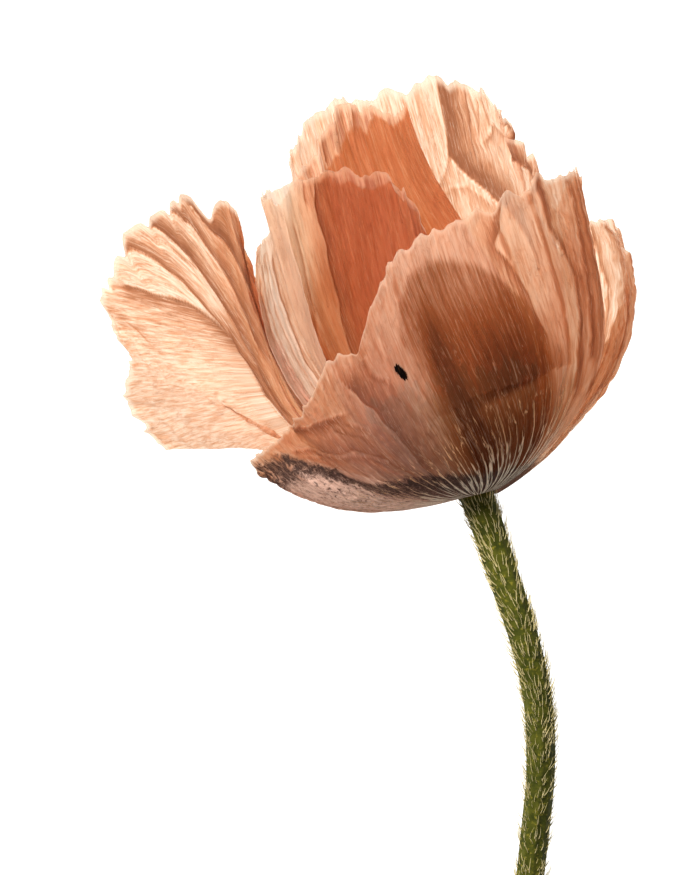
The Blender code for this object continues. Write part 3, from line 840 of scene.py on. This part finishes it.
def petal_material(name):
    """Thin tissue that lets light through, with fibres, creases, veins and a dark mark at its base; shade is
    painted into its creases, tucks, middle and lower left, and highlight onto its crests and veins.
    """
    g = Graph(name + "_tissue")
    across, along, valley_shade = g.attribute("across"), g.attribute("along"), g.attribute("valley_shade")
    seed = float(PETAL_STYLE[name]["seed"])
    grain, short = PETAL_STYLE[name]["grain"]

    def stretched(around, up, shift, detail, roughness=0.5, distortion=0.0):
        """Noise with its own scales across the fibres and along them."""
        where = g.vector(g.math("MULTIPLY", across, around), g.math("MULTIPLY", along, up), seed + shift)
        return g.noise(where, 1.0, detail, roughness, distortion)

    def blended(amount, through_to, off_to):
        """The light through the tissue and off it, moved towards two other colours."""
        return g.mix(amount, through, through_to), g.mix(amount, off, off_to)

    fibres = stretched(2.6, 17.0 * short, 0, 4.0, 0.72, 0.7)
    dashes = stretched(1.5, 26.0 * short, 17, 3.0, 0.6, 0.5)
    streaks = stretched(1.1, 4.0, 3, 3.0, 0.6, 0.9)
    cloud = stretched(0.07, 3.0, 8, 3.0)
    tuck = g.attribute("tuck")
    # Depth of colour: the fibre pattern and each petal's richness, with painted shade added in creases and
    # on tucks.
    depth = g.add(
        (fibres, 3.4 * grain), (dashes, 1.5 * grain), (streaks, 0.6), (cloud, 0.7), (valley_shade, 0.6),
        (tuck, 1.1),
        g.attribute("rich"), -0.65 - 2.45 * grain,
    )
    rich = g.span(depth, -0.55, 1.15)
    through = g.mix(rich, PALE, RICH)
    through = g.mix(g.span(depth, 0.9, 2.3), through, DEEP)
    off = g.mix(rich, OFF_PALE, OFF_RICH)

    # Painted shadow seen through the front petal, and darker petal bases.
    shadows_and_dark_base = g.add(
        g.attribute("shadow_and_dark_base"), (g.math("SUBTRACT", streaks, 0.5), 0.6),
                   (g.math("SUBTRACT", fibres, 0.5), 0.8)
    )
    shadow_and_dark_base = g.span(shadows_and_dark_base, 0.05, 1.0)
    through = g.mix(shadow_and_dark_base, through, SHADOW_THROUGH)
    through = g.mix(g.span(shadows_and_dark_base, 0.85, 1.9), through, DEEP_SHADOW_THROUGH)
    off = g.mix(shadow_and_dark_base, off, SHADOW_OFF)
    # Painted shade at the front petal's lower left and on the inner back petal's left lobe.
    dusky_shade = g.math("MULTIPLY", g.attribute("dusky_shade"), g.span(streaks, 0.3, 0.7, 1.0, 0.55))
    through, off = blended(dusky_shade, DUSKY_SHADE_THROUGH, DUSKY_SHADE_OFF)
    under = g.attribute("under")
    through, off = blended(under, UNDER_THROUGH, UNDER_OFF)
    lip = g.math("MULTIPLY", g.attribute("lip"), g.span(streaks, 0.46, 0.56))
    through = g.mix(lip, through, LIP_THROUGH)

    hairline = stretched(1.7, 4.5, 11, 2.0, 0.5, 1.0)
    crinkle = stretched(0.42, 8.5, 13, 3.0, 0.6, 1.6)
    dark_line = g.math("MULTIPLY", g.ridged(hairline, 0.035), g.span(dashes, 0.42, 0.60))
    crinkled = g.math("MULTIPLY", g.ridged(crinkle, 0.022), g.span(cloud, 0.40, 0.62))
    dark_line = g.math("MAXIMUM", dark_line, crinkled)
    pale_line = g.math("MULTIPLY", g.ridged(streaks, 0.030), g.span(dashes, 0.62, 0.44))
    # Painted shade in the creases and along the thin dark lines of wrinkles and crinkles.
    crease_shade = g.math("MAXIMUM", g.math("MULTIPLY", dark_line, 0.7), g.span(valley_shade, 0.25, 0.95))
    through = g.mix(g.math("MULTIPLY", crease_shade, 0.70), through, CREASE_SHADE_THROUGH)
    # Painted shade on the doubled tissue of tucks.
    doubled_shade = g.span(g.add(tuck, (g.math("SUBTRACT", fibres, 0.5), 1.2)), 0.10, 1.25)
    through = g.mix(doubled_shade, through, TUCK_SHADE_THROUGH)
    # Painted highlight on tuck crests, joined with thin pale lines along the streaks.
    crest_highlight = g.math("MAXIMUM", g.math("MULTIPLY", pale_line, 0.6), g.span(tuck, -0.03, -0.45))
    through = g.mix(crest_highlight, through, PALE)

    edge = g.math("MULTIPLY", g.span(along, 0.980, 0.996), 0.75)
    through, off = blended(edge, PALE, OFF_PALE)

    speckle = stretched(0.9, 30.0, 5, 5.0, 0.75, 1.2)
    mark = g.span(g.add(g.attribute("mark"), (speckle, 3.4), -1.75), 0.30, 1.05)
    through, off = blended(mark, MARK_THROUGH, MARK_OFF)

    # Pale veins; near the base their white is painted highlight on their ridges.
    reach = g.span(g.add(g.attribute("vein_and_highlight"), (dashes, 0.7), -0.35), 0.10, 0.80)
    lines = []
    for spacing, sway in ((0.30, 1.7), (0.21, -2.4)):
        warp = g.add((across, spacing), (streaks, 0.9), (cloud, sway))
        saw = g.math("ABSOLUTE", g.math("SUBTRACT", g.math("MULTIPLY", g.math("FRACT", warp), 2.0), 1.0))
        lines.append(g.span(saw, g.span(along, 0.08, 0.42, 0.55, 0.92), 0.992))
    line = g.math("MULTIPLY", g.math("MAXIMUM", *lines), reach)
    through, off = blended(line, PALE, g.mix(g.span(along, 0.16, 0.42), VEIN_HIGHLIGHT_WHITE, VEIN_OFF))

    spot = g.attribute("fleck")
    ragged = g.span(g.add(spot, (speckle, 2.4), (fibres, 1.2), -1.8), 0.30, 0.55)
    fleck = g.math("MULTIPLY", ragged, g.span(spot, 0.05, 0.35))
    crust = g.mix(g.span(dashes, 0.54, 0.66), FLECK_DARK, FLECK_BROWN)
    through, off = blended(fleck, crust, crust)

    bump = g.bump(g.add((fibres, 1.0), (dashes, 0.5), (line, 0.8), (dark_line, -0.8)), 0.8, 0.0004)
    body = g.node("BsdfPrincipled", Roughness=0.75)
    body.inputs["Specular IOR Level"].default_value = 0.08
    g.put(body.inputs["Base Color"], off)
    g.put(body.inputs["Normal"], bump)
    glow = g.node("BsdfTranslucent", Color=through)
    g.put(glow.inputs["Normal"], bump)
    clear = g.node("BsdfTransparent", Color=through)
    light = g.node("MixShader")
    light.inputs[0].default_value = CLEAR_SHARE
    g.put(light.inputs[1], glow.outputs[0])
    g.put(light.inputs[2], clear.outputs[0])
    both = g.node("MixShader")
    opaque = g.math("MAXIMUM", g.math("MULTIPLY", line, 0.85), g.math("MULTIPLY", mark, 0.45))
    opaque = g.math("MAXIMUM", opaque, g.math("MULTIPLY", under, 0.35))
    g.put(both.inputs[0], g.span(opaque, 0.0, 1.0, THROUGH_SHARE, 0.0))
    g.put(both.inputs[1], body.outputs[0])
    g.put(both.inputs[2], light.outputs[0])
    return g.finish(both.outputs[0])


def plant_material(name, dark, light, scale, roughness=0.55):
    """Opaque plant skin with mottled colour and fine grain."""
    g = Graph(name)
    where = g.node("TexCoord").outputs["Object"]
    mottle = g.noise(where, scale, 5.0, 0.6, 0.3)
    grain = g.noise(where, scale * 6, 3.0, 0.5)
    body = g.node("BsdfPrincipled", Roughness=roughness)
    g.put(body.inputs["Base Color"], g.mix(g.span(mottle, 0.35, 0.65), dark, light))
    g.put(body.inputs["Normal"], g.bump(grain, 0.4, 0.0003))
    return g.finish(body.outputs[0])


# ---------------------------------------------------------------- stem

STEM_DARK = (0.026, 0.032, 0.002)
STEM_LIGHT = (0.060, 0.063, 0.005)
STEM_FIBRE = (0.17, 0.145, 0.016)
HAIR_DARK = (0.36, 0.30, 0.10)
HAIR_LIGHT = (0.62, 0.52, 0.26)
HAIR_COUNT = 1500
HAIR_MARKS = 6
HAIR_LOWEST = 0.1


def frames_along(points):
    """A side and an up direction at each point of a path, turning as little as they can."""
    tangent = np.gradient(points, axis=0)
    tangent /= np.linalg.norm(tangent, axis=1, keepdims=True)
    side = np.empty_like(points)
    current = np.cross(tangent[0], (0.0, 0.0, 1.0))
    for i, way in enumerate(tangent):
        current = current - way * np.dot(current, way)
        current /= np.linalg.norm(current)
        side[i] = current
    return tangent, side, np.cross(tangent, side)


def stem_path(count):
    """Points and radii from the torus inside the flower down to the cut end."""
    axis = world_axes()[0]
    u = np.linspace(0, 1, count)
    low = RECEPTACLE + spline(STEM_ROUTE, u)
    low_radius = STEM_RADIUS + (STEM_NECK - STEM_RADIUS) * np.exp(-6 * u)
    rise = np.linspace(TORUS_TOP, 0, 9)[:-1]
    high = RECEPTACLE + rise[:, None] * axis
    knots = (0, TORUS_TOP * 0.9, TORUS_TOP)
    high_radius = np.interp(rise, knots, (TORUS_RADIUS, TORUS_RADIUS * 0.97, TORUS_RADIUS * 0.8))
    return np.concatenate([high, low]), np.concatenate([high_radius, low_radius])


def build_stem():
    points, radii = stem_path(260)
    tangent, side, up = frames_along(points)
    sides = 72
    angle = np.linspace(0, 2 * math.pi, sides, endpoint=False)
    noise = Noise(71)
    along = np.arange(len(points))[None] * 0.43
    ridges = 0.10 * np.cos(angle * 9 + 0.7)[:, None] + 0.06 * noise(angle[:, None] * 5, along / 9)
    dents = 0.12 * noise(angle[:, None] * 1.6, along / 14 + 40)
    radius = radii[None] + ridges + dents - 0.12
    around = np.cos(angle)[:, None, None] * side[None] + np.sin(angle)[:, None, None] * up[None]
    skin = points[None] + around * radius[..., None]
    grid = skin.reshape(-1, 3)
    faces = grid_faces(sides, len(points), wrap=True)[:, ::-1]
    rows = len(points)
    centres, caps = [], []
    for k, row in enumerate((0, rows - 1)):
        centres.append(skin[:, row].mean(0))
        for i in range(sides):
            a, b = i * rows + row, ((i + 1) % sides) * rows + row
            caps.append((a, b, len(grid) + k) if k == 0 else (b, a, len(grid) + k))
    mesh = bpy.data.meshes.new("stem")
    mesh.from_pydata((np.concatenate([grid, centres]) * MM).tolist(), [], faces.tolist() + caps)
    mesh.validate()
    mesh.shade_smooth()
    mesh.materials.append(stem_material())
    piece = link("stem_skin", mesh)
    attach(piece, "root")
    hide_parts("stem")
    return points, radii, tangent, side, up


def stem_material():
    g = Graph("stem_skin")
    where = g.node("TexCoord").outputs["Object"]
    mottle = g.noise(where, 420.0, 5.0, 0.6, 0.4)
    fibres = g.noise(where, 1300.0, 3.0, 0.5)
    colour = g.mix(g.span(mottle, 0.35, 0.65), STEM_DARK, STEM_LIGHT)
    colour = g.mix(g.span(fibres, 0.55, 0.75), colour, STEM_FIBRE)
    body = g.node("BsdfPrincipled", Roughness=0.8)
    body.inputs["Specular IOR Level"].default_value = 0.12
    g.put(body.inputs["Base Color"], colour)
    g.put(body.inputs["Normal"], g.bump(fibres, 0.4, 0.0003))
    return g.finish(body.outputs[0])


def tapered_tubes(paths, radii, sides):
    """Points and quads of many open tubes. paths: (tubes, marks, 3); radii: (tubes, marks)."""
    tubes, marks = paths.shape[:2]
    way = np.gradient(paths, axis=1)
    way /= np.maximum(np.linalg.norm(way, axis=2, keepdims=True), 1e-9)
    helper = np.where(np.abs(way[..., 2:3]) < 0.8, (0.0, 0.0, 1.0), (1.0, 0.0, 0.0))
    side = np.cross(way, helper)
    side /= np.linalg.norm(side, axis=2, keepdims=True)
    up = np.cross(way, side)
    angle = np.linspace(0, 2 * math.pi, sides, endpoint=False)
    ring = (
        np.cos(angle)[:, None, None, None] * side[None]
        + np.sin(angle)[:, None, None, None] * up[None]
    )
    points = paths[None] + ring * radii[None, ..., None]
    points = points.transpose(1, 0, 2, 3).reshape(-1, 3)
    one = grid_faces(sides, marks, wrap=True)[:, ::-1]
    faces = (one[None] + (np.arange(tubes) * sides * marks)[:, None, None]).reshape(-1, 4)
    return points, faces


def build_hairs(points, radii, tangent, side, up):
    """Pale stiff hairs that lie along the stem, with their tips towards the flower."""
    rng = np.random.default_rng(81)
    count = HAIR_COUNT
    at = rng.uniform(9, len(points) - 3, count)
    i = at.astype(int)
    angle = rng.uniform(0, 2 * math.pi, count)
    out = np.cos(angle)[:, None] * side[i] + np.sin(angle)[:, None] * up[i]
    around = -np.sin(angle)[:, None] * side[i] + np.cos(angle)[:, None] * up[i]
    foot = points[i] + out * (radii[i] - 0.15)[:, None]
    length = rng.uniform(1.3, 3.6, count)
    lift = rng.uniform(0.12, 0.5, count)
    sway = rng.normal(0, 0.16, count)
    s = np.linspace(0, 1, HAIR_MARKS)
    path = (
        foot[:, None]
        - tangent[i][:, None] * (length[:, None] * s)[..., None]
        + out[:, None] * (length[:, None] * (lift[:, None] * s + 0.10 * np.sin(s * math.pi)))[..., None]
        + around[:, None] * (length[:, None] * sway[:, None] * s**2)[..., None]
    )
    path[..., 2] = np.maximum(path[..., 2], HAIR_LOWEST)
    thick = rng.uniform(0.06, 0.13, count)[:, None] * (1 - s[None] * 0.85)
    hairs, faces = tapered_tubes(path, thick, 5)
    mesh = mesh_from("stem_hairs", hairs, faces)
    mesh.materials.append(hair_material())
    piece = link("stem_hairs", mesh)
    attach(piece, "root")


def hair_material():
    g = Graph("stem_hair")
    where = g.node("TexCoord").outputs["Object"]
    mottle = g.noise(where, 700.0, 2.0, 0.5)
    body = g.node("BsdfPrincipled", Roughness=0.35)
    g.put(body.inputs["Base Color"], g.mix(g.span(mottle, 0.3, 0.7), HAIR_DARK, HAIR_LIGHT))
    g.put(body.inputs["Normal"], g.bump(mottle, 0.2, 0.0001))
    return g.finish(body.outputs[0])


# ---------------------------------------------------------------- capsule and stamens

CAPSULE_DARK = (0.07, 0.09, 0.05)
CAPSULE_LIGHT = (0.20, 0.22, 0.12)
CAPSULE_RAYS = 13
STAMEN_DARK = (0.012, 0.006, 0.014)
STAMEN_LIGHT = (0.07, 0.03, 0.07)
STAMEN_COUNT = 190
# Where a stamen is measured along its length, and its thickness there: a thread, then an anther.
STAMEN_MARKS = np.array((0.0, 0.2, 0.45, 0.7, 0.88, 0.905, 0.94, 0.975, 1.0))
STAMEN_THICK = np.array((0.20, 0.17, 0.15, 0.13, 0.13, 0.55, 0.68, 0.55, 0.05))
GOLDEN_TURN = 137.508


def build_capsule():
    """The ovary, turned, with shallow ribs and raised rays on its disc."""
    profile = np.array((
        (0.0, 5.9), (2.6, 5.9), (3.6, 7.2), (6.2, 10.0), (7.6, 13.5), (7.6, 16.5),
        (6.2, 18.6), (7.6, 19.3), (8.6, 20.0), (8.2, 20.9), (4.0, 21.7), (0.4, 22.1),
    ))
    rows, sides = 90, 156
    line = spline(profile, np.linspace(0, 1, rows))
    angle = np.linspace(0, 360, sides, endpoint=False)
    wave = np.cos(np.radians(angle) * CAPSULE_RAYS)[:, None]
    disc = smoothstep(19.6, 20.8, line[:, 1])[None]
    belly = (1 - disc) * smoothstep(7, 11, line[:, 1])[None]
    radius = line[:, 0][None] * (1 + 0.02 * wave * belly + 0.04 * wave * disc)
    height = line[:, 1][None] + 0.35 * smoothstep(0.4, 0.95, wave) * disc
    points = place(radius, height, angle[:, None] + 0 * radius).reshape(-1, 3)
    mesh = mesh_from("seed_capsule", points, grid_faces(sides, rows, wrap=True))
    mesh.materials.append(plant_material("capsule_skin", CAPSULE_DARK, CAPSULE_LIGHT, 300.0))
    piece = link("seed_capsule_skin", mesh)
    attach(piece, "root")
    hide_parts("seed_capsule")


def build_stamens():
    """A dense ring of dark stamens around the capsule."""
    rng = np.random.default_rng(91)
    count = STAMEN_COUNT
    azimuth = (np.arange(count) * GOLDEN_TURN) % 360
    reach = rng.uniform(14, 23, count)
    lean = np.radians(rng.uniform(34, 52, count))
    bend = np.radians(rng.uniform(6, 20, count))
    ring = rng.uniform(5.0, 6.0, count)
    s = STAMEN_MARKS
    angle = lean[:, None] - bend[:, None] * s[None]
    radius = ring[:, None] + reach[:, None] * s[None] * np.sin(angle)
    height = 6.6 + reach[:, None] * s[None] * np.cos(angle)
    wobble = rng.normal(0, 3, count)[:, None] * s[None]
    paths = place(radius, height, azimuth[:, None] + wobble)
    thick = STAMEN_THICK[None] * rng.uniform(0.85, 1.15, count)[:, None]
    points, faces = tapered_tubes(paths, thick, 8)
    mesh = mesh_from("stamens", points, faces)
    mesh.materials.append(plant_material("stamen_skin", STAMEN_DARK, STAMEN_LIGHT, 900.0, 0.75))
    piece = link("stamens_skin", mesh)
    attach(piece, "root")
    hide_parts(*[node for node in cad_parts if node.startswith("stamen_")])


# ---------------------------------------------------------------- stage, light and camera

LENS = 250.0
SENSOR = 36.0
VIEW_LONG = 183.75
VIEW_CENTRE = (-3.5, 23.3)
VIEW_HEIGHT = 45.0
TABLE_HALF = 3000
TABLE_LEVEL = -0.3
TABLE_GLOW = 1.38
ROOM_LIGHT = 0.28
LAMP_SIZE = 0.35
LAMP_POWER = 16.0
LAMP_PLACE = (-0.25, 0.35, 0.6)


def build_stage():
    around = ((-1, -1), (1, -1), (1, 1), (-1, 1))
    corners = [(x * TABLE_HALF, y * TABLE_HALF, TABLE_LEVEL) for x, y in around]
    floor = mesh_from("floor", np.array(corners, float), [(0, 1, 2, 3)])
    g = Graph("light_table")
    glow = g.node("Emission", Color=(1.0, 0.99, 0.97), Strength=TABLE_GLOW)
    floor.materials.append(g.finish(glow.outputs[0]))
    link("floor", floor)
    world = bpy.data.worlds.new("studio")
    world.use_nodes = True
    tree = world.node_tree
    room = tree.nodes["Background"]
    room.inputs[0].default_value = (1.0, 0.97, 0.94, 1.0)
    room.inputs[1].default_value = ROOM_LIGHT
    wall = tree.nodes.new("ShaderNodeBackground")
    wall.inputs[0].default_value = (1.0, 0.995, 0.985, 1.0)
    seen = tree.nodes.new("ShaderNodeLightPath")
    pick = tree.nodes.new("ShaderNodeMixShader")
    tree.links.new(seen.outputs["Is Camera Ray"], pick.inputs[0])
    tree.links.new(room.outputs[0], pick.inputs[1])
    tree.links.new(wall.outputs[0], pick.inputs[2])
    tree.links.new(pick.outputs[0], tree.nodes["World Output"].inputs[0])
    bpy.context.scene.world = world
    lamp = bpy.data.lights.new("soft_box", "AREA")
    lamp.shape = "DISK"
    lamp.size = LAMP_SIZE
    lamp.energy = LAMP_POWER
    lamp.color = (1.0, 0.97, 0.95)
    box = link("soft_box", lamp)
    box.location = LAMP_PLACE
    box.rotation_euler = (math.radians(-32), math.radians(-22), 0)


def build_camera():
    camera = bpy.data.cameras.new("camera")
    camera.lens = LENS
    camera.sensor_width = SENSOR
    piece = link("camera", camera)
    away = VIEW_LONG / 2 / (SENSOR / 2 / LENS)
    piece.location = (VIEW_CENTRE[0] * MM, VIEW_CENTRE[1] * MM, (VIEW_HEIGHT + away) * MM)
    camera.clip_start = 0.05
    camera.clip_end = 20.0
    bpy.context.scene.camera = piece


def main():
    scene = bpy.context.scene
    scene.view_settings.view_transform = "Standard"
    scene.cycles.max_bounces = 24
    scene.cycles.diffuse_bounces = 8
    scene.cycles.transmission_bounces = 24
    scene.cycles.transparent_max_bounces = 32
    build_camera()
    build_stage()
    for name in RIBS:
        build_petal(name)
    build_hairs(*build_stem())
    build_capsule()
    build_stamens()


main()
